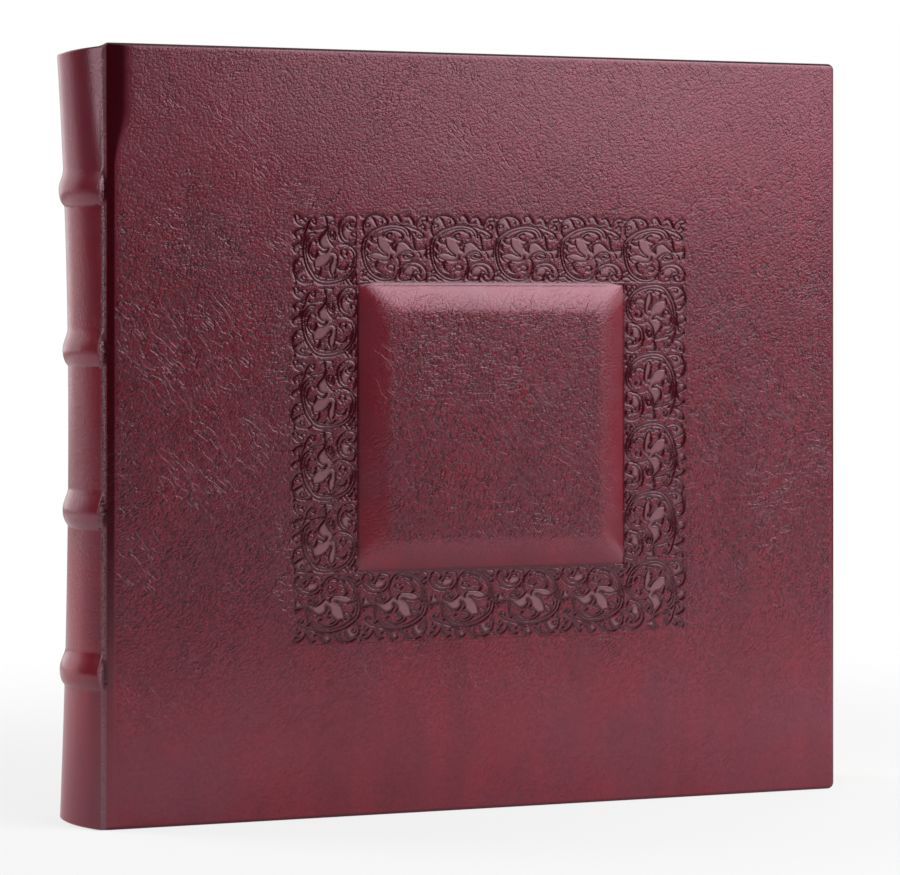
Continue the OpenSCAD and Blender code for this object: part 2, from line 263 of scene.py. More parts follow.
floor_size = 6.0
floor_mesh = bpy.data.meshes.new("studio_floor")
floor_mesh.from_pydata([(-floor_size, -floor_size, 0), (floor_size, -floor_size, 0),
                        (floor_size, floor_size, 0), (-floor_size, floor_size, 0)], [], [(0, 1, 2, 3)])
studio_floor = new_object("studio_floor", floor_mesh)
tree, point = material("white_floor")
mirrored = tree.ray(glossy_ray).most(tree.ray(transmission_ray))
distance = tree.vector("LENGTH", point, output=1)
from_joint = tree.vector("SUBTRACT", point, (joint_x / mm, front_y / mm, 0))
back_left = tuple(-0.77 * right + 0.64 * away)
beyond = tree.vector("DOT_PRODUCT", from_joint, back_left, output=1)
beyond = beyond / tree.vector("LENGTH", from_joint, output=1)
near_matt = tree.node("ShaderNodeBsdfDiffuse", {}, {"Color": (0.45, 0.45, 0.45, 1)})
far_matt = tree.node("ShaderNodeBsdfDiffuse", {}, {"Color": (0.08, 0.08, 0.08, 1)})
bright = tree.node("ShaderNodeEmission", {}, {"Color": (1, 1, 1, 1), "Strength": 1})
matt = tree.blend(distance.ramp(600, 1700), near_matt, far_matt)
off_x, off_y = tree.part(point, 0).math("ABSOLUTE"), tree.part(point, 1).math("ABSOLUTE")
clear = off_x.ramp(165, 175).most(off_y.ramp(19, 23))
seen = tree.ray(camera_ray) * clear * distance.ramp(250, 700, 0.75, 1)
white = seen.most(mirrored * beyond.ramp(0.4, 0.72) * 0.4)
floor_mesh.materials.append(tree.end(tree.blend(white, matt, bright)))


# Antiqued calf: burgundy leather with a pebbled grain, stretched smooth over edges, bands and
# slopes, blotched with darker wax and burnished nearly black where hot tools pressed it.
# Light is painted into its colour as well: a greyer sheen over the top third, painted shade on
# the joints' slopes, at the band ends, down the panel's slopes and in the stamped grooves, and
# painted highlights on the shoulder ridges and the stamped leaves. Attributes on each piece say
# how taut it is, how far it is burnished and darkened by painted shade, and how far it is
# polished and lightened by painted highlight, at each point.
def leather_finish(name):
    tree, point = material(name)
    taut, burnish_and_shade, polish_and_sheen = tree.mark("taut"), tree.mark("burnish_and_shade"), tree.mark("polish_and_sheen")

    level = tree.part(point, 2)
    clouds = tree.noise(point, 52, 3.0, 0.55, 0.6)
    streaks = tree.noise(tree.spread(point, (1, 1, 0.28)), 24, 3.0, 0.6, 0.3)
    mottle = tree.noise(point, 9, 4.0, 0.62, 0.4)
    specks = tree.noise(point, 1.3, 2.0, 0.7)
    deep, red = (0.092, 0.007, 0.0125, 1), (0.126, 0.0085, 0.0155, 1)
    wax_and_top_sheen, dark = (0.082, 0.014, 0.023, 1), (0.021, 0.0006, 0.0022, 1)
    colour = tree.mix(streaks.ramp(0.36, 0.66), deep, red)
    colour = tree.mix(clouds.ramp(0.42, 0.68) * 0.6, colour, wax_and_top_sheen)
    colour = tree.mix(mottle.ramp(0.5, 0.72) * 0.2, colour, wax_and_top_sheen)
    # Painted sheen: over the top third the colour leans to the greyer wax tone, for the haze that the light
    # above leaves there.
    colour = tree.mix(level.ramp(215, 330) * 0.55, colour, wax_and_top_sheen)
    colour = tree.mix(mottle.ramp(0.5, 0.3) * 0.15, colour, red)
    colour = tree.mix(specks.ramp(0.55, 0.3) * 0.4 * (1 - taut), colour, deep)
    # Painted highlight: a lighter, greyer colour where the mark says polished, on the shoulder ridges and
    # the stamped leaves.
    colour = tree.mix(polish_and_sheen * 0.7, colour, (0.13, 0.07, 0.08, 1))

    small = tree.bent(point, 3.4, 2.2)
    large = tree.bent(point, 17, 10)
    leaning = tree.turned(small, 0.7)
    cells = tree.node("ShaderNodeTexVoronoi", {},
                      {"Vector": tree.spread(leaning, (0.7, 1, 1)), "Scale": 1 / 0.95})
    pebbles = 1 - cells * cells * 2.6
    crumple = tree.noise(tree.spread(leaning, (0.55, 1, 1)), 2.2, 3.0, 0.6)
    fine = tree.noise(point, 0.6, 2.0, 0.6)
    height = pebbles * 0.046 + crumple * 0.036 + fine * 0.042
    where = tree.noise(point, 40, 1.0)
    folds = 0.0
    for lean, low, high in ((0.75, 0.46, 0.62), (2.2, 0.5, 0.38), (0.3, 0.54, 0.66)):
        drawn = tree.noise(tree.spread(tree.turned(large, lean), (0.26, 1, 1)), 4.6, 2.0, 0.5)
        folds = (drawn - 0.5).math("ABSOLUTE").ramp(0.028, 0.0) * where.ramp(low, high) + folds
    height = height - folds * 0.085
    worn = (1 - taut) * level.ramp(25, 120, 0.3, 1) * level.ramp(230, 310, 1, 0.6)
    height = height * (1 - taut * 0.93) * level.ramp(25, 120, 0.35, 1.1) * level.ramp(230, 310, 1, 0.7)
    hollow = cells.ramp(0.25, 0.6) * 0.8 + crumple.ramp(0.5, 0.36) * 0.25 + folds * 0.35
    colour = tree.mix(hollow * worn, colour, dark)
    # Burnished leather and painted shade: the mark darkens the colour where hot tools pressed, and where
    # shade is painted at the joints, band ends, panel slopes and grooves.
    colour = tree.mix(burnish_and_shade.ramp(0, 0.85), colour, dark)

    rough = 0.19 + mottle.ramp(0.3, 0.7) * 0.06 - burnish_and_shade * 0.09
    rough = rough + cells.ramp(0.3, 0.6) * 0.06 * (1 - taut)
    return tree.surface(colour, rough, height, {"IOR": 1.7, "Specular Tint": (1, 0.66, 0.78, 1)})


leather = leather_finish("burgundy_leather")


def shell(name, points, faces, finish, marks, body, sharp=35):
    """A closed mesh from points and faces, with point attributes, in one finish. A piece that
    comes with body None is attached to no body."""
    mesh = bpy.data.meshes.new(name)
    mesh.from_pydata(points, [], faces)
    for mark, values in (marks or {}).items():
        mesh.attributes.new(mark, "FLOAT", "POINT").data.foreach_set("value", values.astype(np.float32))
    form = bmesh.new()
    form.from_mesh(mesh)
    bmesh.ops.remove_doubles(form, verts=form.verts, dist=1e-6)
    bmesh.ops.dissolve_degenerate(form, edges=form.edges, dist=1e-7)
    bmesh.ops.recalc_face_normals(form, faces=form.faces)
    form.to_mesh(mesh)
    form.free()
    mesh.polygons.foreach_set("use_smooth", np.ones(len(mesh.polygons), bool))
    mesh.set_sharp_from_angle(angle=math.radians(sharp))
    mesh.materials.append(finish)
    made = new_object(name, mesh)
    if body:
        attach(made, body)
    return made


def quads(rows, columns, first=0, keep=None, wrap=False):
    """Faces of a grid of points numbered row by row, for the cells in keep."""
    index = first + np.arange(rows * columns).reshape(rows, columns)
    if wrap:
        index = np.hstack([index, index[:, :1]])
    cells = np.stack([index[:-1, :-1], index[:-1, 1:], index[1:, 1:], index[1:, :-1]], axis=-1)
    if keep is not None:
        cells = cells[keep]
    return cells.reshape(-1, 4).tolist()


def rim_of(rows, columns):
    """The numbers of the points round the rim of a grid."""
    index = np.arange(rows * columns).reshape(rows, columns)
    return np.concatenate([index[0, :-1], index[:-1, -1], index[-1, :0:-1], index[:0:-1, 0]])


def bridge(first, second):
    """Faces between two closed rings of point numbers."""
    return np.stack([first, np.roll(first, -1), np.roll(second, -1), second], 1).tolist()


def between(name, outer, inner, finish, marks, body):
    """A closed piece between two grids of points that have the same rows and columns."""
    rows, columns = outer.shape[:2]
    size = rows * columns
    rim = rim_of(rows, columns)
    faces = quads(rows, columns) + quads(rows, columns, size) + bridge(rim, rim + size)
    marks = {key: np.tile(np.ravel(value), 2) for key, value in (marks or {}).items()}
    points = np.concatenate([outer.reshape(-1, 3), inner.reshape(-1, 3)])
    return shell(name, points, faces, finish, marks, body)


def capped(name, points, finish, marks, body, sharp=35):
    """A closed piece from rows of points, each row a closed section; the first and last are capped."""
    rows, columns = points.shape[:2]
    faces = quads(rows, columns, wrap=True)
    faces += [list(range(columns)), list(range((rows - 1) * columns, rows * columns))]
    return shell(name, points.reshape(-1, 3), faces, finish, marks, body, sharp)


# The front board's leather: one skin drawn over the board, rounded at its edges and corners,
# pared thin and turned in on three sides. The board is bevelled towards the joint, so the
# leather falls away there. The stamped border and the padded panel fill the opening left here.
stamp_length, stamp_width, stamps_per_side = 31.7 * mm, 29.8 * mm, 5
border_outer = stamps_per_side * stamp_length + stamp_width
stamp_margin = 1.5 * mm
panel_base = stamps_per_side * stamp_length - stamp_width
pad_low, pad_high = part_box("panel_pad")
panel_x, panel_z = (pad_low[0] + pad_high[0]) / 2, (pad_low[2] + pad_high[2]) / 2
joint_strip = 1.6 * mm
leather_depth = 1.0 * mm
corner_radius, edge_radius, turn_in_depth, turn_in_width = 3 * mm, 1.8 * mm, 0.5 * mm, 16 * mm


def smooth_step(value, low, high):
    """A smooth rise from 0 at low to 1 at high."""
    share = np.clip((value - low) / (high - low), 0, 1)
    return share * share * (3 - 2 * share)


def joint_width(z):
    """Width of the falling stretch beside the joint, wider at the head."""
    return (7.0 + 8.0 * smooth_step(z, head_z - 54 * mm, head_z - 26 * mm)) * mm


def joint_drop(x, z):
    """How far the leather lies below the cover's face, a parabola that dies away from the joint."""
    width = joint_width(z)
    part = np.clip(1 - (x - joint_x) / width, 0, 1)
    return 0.1 * width * part ** 2


def joint_shade(x, z):
    """Painted shade on the joint's slope, for the dark reflection there: full at the joint and head, weaker
    at the tail.
    """
    across = x - joint_x
    width = joint_width(z)
    part = smooth_step(0.5 + (0.62 * width - across) / (0.8 * width - 4 * mm), 0, 1)
    fade = np.clip(z / (150 * mm), 0, 1)
    past_ridge = np.clip((across - 0.7 * mm) / (0.6 * mm), 0, 1)
    return part * (0.15 + 0.85 * fade) * past_ridge


def soft_waves(x, z, seed, height):
    """Gentle unevenness of a leather face: a few long sine waves across each other."""
    draw = np.random.default_rng(seed)
    total = np.zeros(np.broadcast(x, z).shape)
    for length in (150, 110, 82, 64, 49, 38):
        turn, start = draw.uniform(0, math.pi), draw.uniform(0, 2 * math.pi)
        across = (x * math.cos(turn) + z * math.sin(turn)) / (length * mm)
        total = total + length / 150 * np.sin(2 * math.pi * across + start)
    return height * total / 3


def front_relief(x, z):
    """How far the front face stands out from its plane: bowed board, waves and joint slope."""
    across = (x - (joint_x + fore_x) / 2) / (fore_x - joint_x)
    up = z / head_z - 0.5
    bow = 0.35 * mm * (1 - 4 * up ** 2) * (1 - 4 * across ** 2)
    return bow + soft_waves(x, z, 7, 0.16 * mm) - joint_drop(x, z)


def back_relief(x, z):
    """The back face has the waves and the joint slope only."""
    return soft_waves(x, z, 11, 0.16 * mm) - joint_drop(x, z)


def spaced(stops, step):
    """Rising places through all the stops, about a step apart."""
    parts = [np.linspace(a, b, max(1, math.ceil((b - a) / step)), endpoint=False)
             for a, b in zip(stops[:-1], stops[1:])]
    return np.concatenate(parts + [[stops[-1]]])


def outline(xs, zs, inset, radii, joint_inset):
    """A closed loop round the cover at an inset from its edges, with rounded fore corners.

    The sides repeat the places xs and zs, scaled between the corners."""
    low_x, high_x = xs[0] + joint_inset, fore_x - inset
    low_z, high_z = inset, head_z - inset
    share_x = (xs - xs[0]) / (xs[-1] - xs[0])
    share_z = (zs - zs[0]) / (zs[-1] - zs[0])
    radius = max(radii - inset, 0)
    bend = np.radians(np.linspace(0, 90, 9))
    tail = np.stack([low_x + share_x * (high_x - radius - low_x), np.full(len(xs), low_z)], 1)
    corner = np.stack([high_x - radius + radius * np.sin(bend), low_z + radius - radius * np.cos(bend)], 1)
    fore = np.stack([np.full(len(zs), high_x), low_z + radius + share_z * (high_z - low_z - 2 * radius)], 1)
    upper = np.stack([high_x - radius + radius * np.cos(bend), high_z - radius + radius * np.sin(bend)], 1)
    head = np.stack([low_x + share_x[::-1] * (high_x - radius - low_x), np.full(len(xs), high_z)], 1)
    joint = np.stack([np.full(len(zs), low_x), low_z + share_z[::-1] * (high_z - low_z)], 1)
    return np.concatenate([tail, corner, fore, upper, head, joint])


def board_leather(name, relief, plane, side, opening, body, node):
    """A board's leather as a closed skin: face grid, rounded edges, turn-ins and inner faces."""
    start = joint_x + joint_strip
    stops_x = [start, joint_x + 15 * mm, fore_x - corner_radius]
    stops_z = [corner_radius, head_z - corner_radius]
    if opening:
        half = border_outer / 2 + stamp_margin
        stops_x = sorted(stops_x + [panel_x - half, panel_x + half])
        stops_z = sorted(stops_z + [panel_z - half, panel_z + half])
    xs = np.concatenate([spaced(stops_x[:2], 0.8 * mm)[:-1], spaced(stops_x[1:], 3 * mm)])
    zs = spaced(stops_z, 3 * mm)
    grid_x, grid_z = np.meshgrid(xs, zs)
    keep = np.ones((len(zs) - 1, len(xs) - 1), bool)
    if opening:
        mid_x, mid_z = (xs[1:] + xs[:-1]) / 2, (zs[1:] + zs[:-1]) / 2
        keep = ~((abs(mid_z - panel_z) < half)[:, None] & (abs(mid_x - panel_x) < half)[None, :])

    def place(flat, depth):
        """Points at a depth under the face, which carries its relief less and less inwards."""
        fade = np.clip(1 - depth / (3 * mm), 0, 1)
        y = plane + side * (relief(flat[:, 0], flat[:, 1]) * fade - depth)
        return np.stack([flat[:, 0], y, flat[:, 1]], 1)

    bend = np.radians(np.linspace(0, 90, 8))
    nose = 0.4 * mm
    path = [(corner_radius, 0)]
    path += [(edge_radius * (1 - math.sin(a)), edge_radius * (1 - math.cos(a))) for a in bend]
    path += [(nose * (1 - math.cos(a)), cover_depth - nose + nose * math.sin(a)) for a in bend[::2]]
    path += [(turn_in_width, cover_depth)]
    outer_count = len(path) - 1
    path += [(turn_in_width, cover_depth - turn_in_depth)]
    path += [(leather_depth, cover_depth - turn_in_depth), (leather_depth, leather_depth)]
    path += [(corner_radius, leather_depth)]
    loops = []
    for inset, depth in path:
        joint_inset = leather_depth if len(loops) > outer_count else 0.0
        loops.append(place(outline(xs, zs, inset, corner_radius, joint_inset), depth))
    face = place(np.stack([grid_x.ravel(), grid_z.ravel()], 1), 0)
    under_x = xs[0] + leather_depth + (grid_x - xs[0]) * (1 - leather_depth / (xs[-1] - xs[0]))
    under = place(np.stack([under_x.ravel(), grid_z.ravel()], 1), leather_depth)
    points = [face] + loops + [under]
    rows, count = len(loops), len(loops[0])
    faces = quads(len(zs), len(xs), 0, keep)
    faces += quads(rows, count, len(face), wrap=True)
    faces += quads(len(zs), len(xs), len(face) + rows * count, keep)
    if opening:
        inside = (abs(xs - panel_x) < half + 1e-9), (abs(zs - panel_z) < half + 1e-9)
        columns, lines = np.flatnonzero(inside[0]), np.flatnonzero(inside[1])
        ring = ([(lines[0], c) for c in columns[:-1]] + [(r, columns[-1]) for r in lines[:-1]]
                + [(lines[-1], c) for c in columns[:0:-1]] + [(r, columns[0]) for r in lines[:0:-1]])
        upper = np.array([r * len(xs) + c for r, c in ring])
        lower = upper + len(face) + rows * count
        faces += bridge(upper, lower)
    points = np.concatenate(points)
    from_edge = np.minimum(np.minimum(fore_x - points[:, 0], points[:, 2]), head_z - points[:, 2])
    fall = (points[:, 0] - joint_x) / joint_width(points[:, 2])
    taut = np.maximum(np.clip(1.6 - from_edge / (1.6 * mm), 0, 1), np.clip(6 - 8 * fall, 0, 1))
    taut = np.maximum(taut, np.clip(abs(points[:, 1] - plane) / (1.5 * mm) - 0.5, 0, 1))
    # Painted shade down the joint's slope, and darker rounded edges.
    burnish_and_shade = joint_shade(points[:, 0], points[:, 2])
    burnish_and_shade = np.maximum(burnish_and_shade, 0.7 * np.clip(1.5 - from_edge / (1.4 * mm), 0, 1))
    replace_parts(shell(name, points, faces, leather, {"taut": taut, "burnish_and_shade": burnish_and_shade}, body), node)


board_leather("front_cover_leather", front_relief, front_y, -1, True, "front_cover", "front_leather")
board_leather("back_cover_leather", back_relief, back_y, 1, False, "back_cover", "back_leather")


# The stamped border: a heated brass stamp pressed five times along each side, turned a
# quarter at each corner. Its lines are narrow grooves, darkened by the tool's burnish and by
# painted shade: a large scroll with a leaf sprig in its eye, a volute above, an arch with two
# curls below, and small leaves between, which are painted lighter as a sheen.
stamp_depth = 0.14 * mm
stamp_step = 0.25 * mm


def stem(stops):
    """A smooth curve through the stops: cubics whose slopes follow from the stops on either side."""
    ends = np.vstack([2 * stops[0] - stops[1], stops, 2 * stops[-1] - stops[-2]])
    share = np.linspace(0, 1, 7)[:, None]
    parts = []
    for a, b, c, d in zip(ends[:-3], ends[1:-2], ends[2:-1], ends[3:]):
        parts.append(0.5 * (2 * b + (c - a) * share + (2 * a - 5 * b + 4 * c - d) * share ** 2
                            + (3 * b - a - 3 * c + d) * share ** 3))
    return np.vstack(parts)


grooves = [  # half widths at both ends in hundredths of a millimetre, then the stops in tenths
    (42, 36, 230, 199, 226, 220, 208, 242, 178, 252, 143, 254, 109, 248, 74, 237, 40, 217, 15, 193, 4,
     163, 3, 132, 8, 101, 18, 70, 37, 39, 65, 18, 100, 5, 134, 5, 160, 18, 177, 43, 182, 70, 179, 93,
     170, 110),
    (22, 34, 216, 205, 211, 220, 191, 236, 156, 241, 122, 237, 87, 227, 53, 207, 29, 189, 19, 163, 17,
     132, 22, 101, 31, 73, 48, 47, 74, 27, 106, 17, 134, 19, 152, 29),
    (30, 46, 68, 197, 84, 202, 101, 205, 113, 217, 139, 229, 167, 227, 187, 217, 194, 203, 187, 194),
    (50, 34, 139, 217, 125, 210, 122, 197, 137, 189, 155, 182, 148, 170, 142, 158, 150, 143, 160, 137),
    (34, 48, 162, 137, 162, 157, 175, 173, 197, 178, 216, 168, 234, 151, 249, 142),
    (34, 24, 170, 110, 182, 122, 203, 135, 225, 139, 240, 132, 246, 124),
    (30, 36, 42, 121, 63, 129, 89, 127, 106, 119, 121, 118),
    (22, 36, 48, 110, 68, 101, 96, 96, 126, 96, 141, 107, 143, 119),
    (60, 34, 76, 92, 68, 80, 70, 62, 82, 49, 94, 44),
    (30, 34, 119, 66, 132, 77, 150, 75, 156, 62, 147, 51, 134, 54),
    (50, 30, 50, 199, 44, 184, 59, 173, 74, 171),
    (45, 25, 36, 166, 33, 151, 42, 139),
    (45, 30, 29, 132, 31, 112, 44, 97),
    (22, 30, 79, 197, 78, 182, 84, 159, 101, 137, 122, 122),
    (42, 52, 17, 208, 10, 224, 9, 244, 15, 267, 33, 287, 59, 297, 87, 295, 109, 284, 121, 269, 122, 253),
    (30, 36, 2, 294, 9, 285, 25, 287, 37, 292),
    (55, 36, 52, 287, 60, 275, 68, 259, 74, 249),
    (26, 30, 22, 242, 22, 255, 33, 259, 42, 252, 34, 244),
    (25, 25, 91, 282, 101, 275, 97, 262),
    (30, 36, 145, 275, 143, 288, 156, 297, 170, 294, 178, 282, 182, 271, 195, 262, 210, 263, 219, 269),
    (55, 60, 167, 296, 177, 284, 183, 271),
    (42, 64, 213, 288, 225, 292, 237, 282, 244, 269, 249, 255),
    (22, 46, 171, 263, 199, 253, 225, 246, 247, 238, 268, 231, 286, 219, 295, 205, 290, 197),
    (26, 26, 268, 203, 277, 209, 285, 203, 281, 193, 268, 197),
    (28, 46, 257, 249, 264, 269, 278, 284, 296, 291, 309, 286, 307, 275, 298, 271),
    (25, 36, 285, 275, 290, 259, 281, 246),
    (46, 30, 292, 257, 300, 246, 296, 234),
    (40, 48, 254, 217, 247, 220, 240, 215, 243, 199, 247, 178, 250, 159, 257, 144, 268, 142, 285, 146,
     302, 148),
    (36, 46, 303, 164, 305, 151, 306, 132, 303, 114),
    (26, 30, 270, 132, 279, 122, 281, 110),
    (22, 22, 198, 114, 208, 126, 225, 129, 242, 122, 247, 115, 234, 105, 214, 102, 201, 107, 198, 114),
    (55, 30, 214, 116, 225, 110, 240, 113),
    (34, 46, 184, 45, 188, 60, 203, 78, 229, 87, 259, 88, 286, 77, 303, 56, 309, 33, 303, 12, 285, 1,
     266, 6, 256, 20, 262, 33, 273, 34, 279, 25),
    (24, 36, 199, 39, 200, 53, 214, 66, 237, 73, 259, 69, 273, 56, 279, 43),
    (32, 50, 184, 45, 178, 29, 182, 14, 199, 5, 221, 4, 233, 14, 230, 27, 220, 28),
    (30, 25, 238, 24, 244, 39, 254, 49, 264, 47),
    (40, 30, 7, 45, 18, 54, 29, 49, 25, 37, 14, 34),
    (36, 50, 5, 24, 16, 29, 31, 24, 44, 12, 57, 9),
    (30, 36, 3, 8, 16, 2, 33, 4),
    (46, 46, 78, 33, 96, 24, 115, 24),
]
leaves = [  # outlines of the polished leaves, in tenths of a millimetre
    (82, 199, 78, 184, 83, 161, 100, 139, 122, 122, 106, 119, 89, 126, 63, 128, 44, 121, 49, 109, 70,
     101, 96, 97, 126, 97, 140, 107, 145, 118, 160, 116, 171, 112, 183, 122, 203, 135, 225, 139, 249,
     142, 234, 151, 216, 168, 197, 176, 177, 173, 164, 156, 162, 137, 150, 142, 139, 159, 130, 174, 121,
     190, 109, 197, 96, 199),
    (16, 240, 15, 259, 29, 275, 53, 280, 63, 267, 68, 249, 48, 240, 31, 238),
    (143, 282, 150, 292, 160, 293, 167, 284, 164, 275, 152, 271),
    (270, 137, 300, 139, 302, 116, 285, 110, 272, 122),
    (203, 45, 216, 60, 238, 66, 247, 54, 240, 39, 221, 33),
]


def line_distance(px, pz, line, start_half, end_half):
    """Distance of points to a broken line over its half width, which changes along it."""
    best = np.full(px.shape, 1e9)
    halves = np.linspace(start_half, end_half, len(line))
    low, high = line.min(0) - 1.6, line.max(0) + 1.6
    near = (px > low[0]) & (px < high[0]) & (pz > low[1]) & (pz < high[1])
    x, z, least = px[near], pz[near], best[near]
    for (ax, az), (bx, bz), half in zip(line[:-1], line[1:], halves):
        long = (bx - ax) ** 2 + (bz - az) ** 2
        share = np.clip(((x - ax) * (bx - ax) + (z - az) * (bz - az)) / max(long, 1e-9), 0, 1)
        gap = np.hypot(x - ax - share * (bx - ax), z - az - share * (bz - az))
        least = np.minimum(least, gap / half)
    best[near] = least
    return best


def within(px, pz, loop):
    """1 inside a closed outline and 0 outside, by counting the edges crossed."""
    inside = np.zeros(px.shape, bool)
    for (ax, az), (bx, bz) in zip(loop, np.roll(loop, -1, axis=0)):
        if az != bz:
            crossing = (az > pz) != (bz > pz)
            inside ^= crossing & (px < ax + (pz - az) * (bx - ax) / (bz - az))
    return inside.astype(float)


# The pressed tile is drawn on a grid of cells, and the lines spill a few cells past its edges.
cell = stamp_length / round(stamp_length / stamp_step)
spill = 4
tile_x, tile_z = np.meshgrid(np.arange(-spill, round(stamp_length / cell) + spill + 1) * cell / mm,
                             np.arange(-spill, round(stamp_width / cell) + spill + 1) * cell / mm)
groove, burnish_and_shade, polish_and_sheen = np.zeros((3,) + tile_x.shape)
# Each groove darkens a halo wider than itself: the hot tool's burnish together with painted shade of the
# groove.
for start_half, end_half, *places in grooves:
    line = stem(np.reshape(places, (-1, 2)) / 10)
    gap = line_distance(tile_x, tile_z, line, start_half / 100, end_half / 100)
    groove = np.maximum(groove, np.exp(-0.5 * gap ** 2))
    burnish_and_shade = np.maximum(burnish_and_shade, np.exp(-0.16 * gap ** 2))
# The leaves are pressed smooth and sunk a little, and painted lighter and greyer: painted sheen.
for places in leaves:
    loop = np.reshape(places, (-1, 2)) / 10
    polish_and_sheen = np.maximum(polish_and_sheen, within(tile_x, tile_z, loop))
    gap = line_distance(tile_x, tile_z, np.vstack([loop, loop[:1]]), 0.2, 0.2)
    groove = np.maximum(groove, 0.45 * np.exp(-0.8 * gap ** 2))
    burnish_and_shade = np.maximum(burnish_and_shade, 0.4 * np.exp(-0.45 * gap ** 2))
for _ in range(2):
    polish_and_sheen = (polish_and_sheen + np.roll(polish_and_sheen, 1, 0) + np.roll(polish_and_sheen, -1, 0) + np.roll(polish_and_sheen, 1, 1)
              + np.roll(polish_and_sheen, -1, 1)) / 5


def stamped_run(field, slips):
    """One side's field: the stamp five times along, each a few grid cells off its place."""
    pitch = round(stamp_length / cell)
    margin = round(stamp_margin / cell)
    pad = 12
    run = np.zeros((round(stamp_width / cell) + margin + 1 + 2 * pad,
                    stamps_per_side * pitch + margin + 1 + 2 * pad))
    for place, (shift, lift) in enumerate(slips):
        row, column = pad - spill + lift, pad - spill + place * pitch + shift
        part = run[row:row + field.shape[0], column:column + field.shape[1]]
        part[...] = np.maximum(part, field[:part.shape[0], :part.shape[1]])
    return run[pad:-pad, pad:-pad]


def slab(name, points, shape, under, finish, marks, body):
    """A closed slab: a grid of surface points, with its rim carried back to a flat underside."""
    rim = rim_of(*shape)
    lower = points[rim].copy()
    lower[:, 1] = under
    ring = len(points) + np.arange(len(rim))
    faces = quads(*shape) + bridge(rim, ring) + [ring.tolist()]
    marks = {key: np.concatenate([value.ravel(), value.ravel()[rim]]) for key, value in marks.items()}
    return shell(name, np.concatenate([points, lower]), faces, finish, marks, body)


# How far each stamp landed from its place, along and outwards, in grid cells of 0.25 mm.
hand_slips = {
    "head": [(7, 0), (9, 0), (7, 0), (6, 0), (4, -1)],
    "fore": [(2, 2), (1, 1), (2, 1), (0, 0), (1, 1)],
    "tail": [(1, 0), (0, 1), (1, 1), (2, 1), (1, 2)],
    "joint": [(0, 1), (1, 2), (0, 2), (1, 1), (2, -1)],
}
for side, (where, slips) in enumerate(hand_slips.items()):
    marks = {key: stamped_run(field, slips)
             for key, field in (("groove", groove), ("burnish_and_shade", burnish_and_shade), ("polish_and_sheen", polish_and_sheen))}
    rows, columns = marks["polish_and_sheen"].shape
    along, up = np.meshgrid(np.arange(columns) * cell, np.arange(rows) * cell)
    flat_x, flat_z = along - panel_base / 2, panel_base / 2 + up
    turn = -side * math.pi / 2
    x = panel_x + flat_x * math.cos(turn) - flat_z * math.sin(turn)
    z = panel_z + flat_x * math.sin(turn) + flat_z * math.cos(turn)
    from_rim = np.minimum(np.minimum(along, along.max() - along), np.minimum(up, up.max() - up))
    fade = np.clip(from_rim / (0.6 * mm), 0, 1)
    sink = (stamp_depth * marks.pop("groove") - 0.05 * mm * marks["polish_and_sheen"]) * fade
    y = front_y - front_relief(x, z) + sink
    points = np.stack([x.ravel(), y.ravel(), z.ravel()], 1)
    marks["taut"] = 0.9 * np.maximum(marks["burnish_and_shade"], marks["polish_and_sheen"])
    piece = slab(f"stamped_border_{where}", points, x.shape, front_y + 0.95 * leather_depth, leather,
                 marks, "front_cover")
    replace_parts(piece, "front_leather")


# The padded panel: the same leather drawn over a shaped pad on the board, pressed down in a
# crease all round, with sloping sides that stretch the grain away and a softly crowned top.
panel_slope = 14 * mm
panel_crown = 0.7 * mm
panel_step = 0.7 * mm


def panel_height(x, z):
    """Pillow: 1 - (1 - d) ** 1.6 for the share d up the slope, corners softened, plus a low crown."""
    half = panel_base / 2
    from_side = half - abs(x - panel_x)
    from_end = half - abs(z - panel_z)
    soft = 8 * mm
    blend = np.clip(0.5 + 0.5 * (from_end - from_side) / soft, 0, 1)
    nearest = from_side * blend + from_end * (1 - blend) - soft * blend * (1 - blend)
    rise = 1 - (1 - np.clip(nearest / panel_slope, 0, 1)) ** 1.6
    crown = (1 - ((x - panel_x) / half) ** 2) * (1 - ((z - panel_z) / half) ** 2)
    return panel_rise * rise + panel_crown * np.clip(crown, 0, 1)


count = round(panel_base / panel_step)
places = np.linspace(-panel_base / 2, panel_base / 2, count + 1)
x, z = np.meshgrid(panel_x + places, panel_z + places)
nearest = panel_base / 2 - np.maximum(abs(x - panel_x), abs(z - panel_z))
crease = 0.35 * mm * np.exp(-(nearest / (0.9 * mm)) ** 2) * np.clip(nearest / (0.7 * mm), 0, 1)
outer_y = front_y - front_relief(x, z) - panel_height(x, z) + crease
inner_y = np.minimum(outer_y + 0.9 * leather_depth, front_y + 0.95 * leather_depth)
slope_taut = np.clip(1.15 - nearest / (13 * mm), 0, 1) ** 0.5 * 0.9
# Painted shade: darker in the crease all round, which is burnished as well, and faintly darker down the
# sloping sides.
crease_and_slope_shade = (0.75 * np.exp(-(nearest / (0.8 * mm)) ** 2)
                + 0.2 * np.clip(1.2 - nearest / (12 * mm), 0, 1))
panel = between("padded_panel_leather", np.dstack([x, outer_y, z]), np.dstack([x, inner_y, z]), leather,
                {"taut": slope_taut, "burnish_and_shade": crease_and_slope_shade}, "front_cover")
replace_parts(panel, "front_leather")


# The spine's leather: moulded wet over four raised bands on a rounded card, a little flared
# towards head and tail, and turned in at both ends over the card to make the caps.
spine_bulge = joint_x - spine_low[0] - 4.1 * mm
band_rise = 2.3 * mm
spine_head = spine_high[2]
band_boxes = [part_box(f"raised_band_{i}") for i in range(1, 5)]
band_places = [(low[2] + high[2]) / 2 for low, high in band_boxes]
shoulder_run = 2.8 * mm


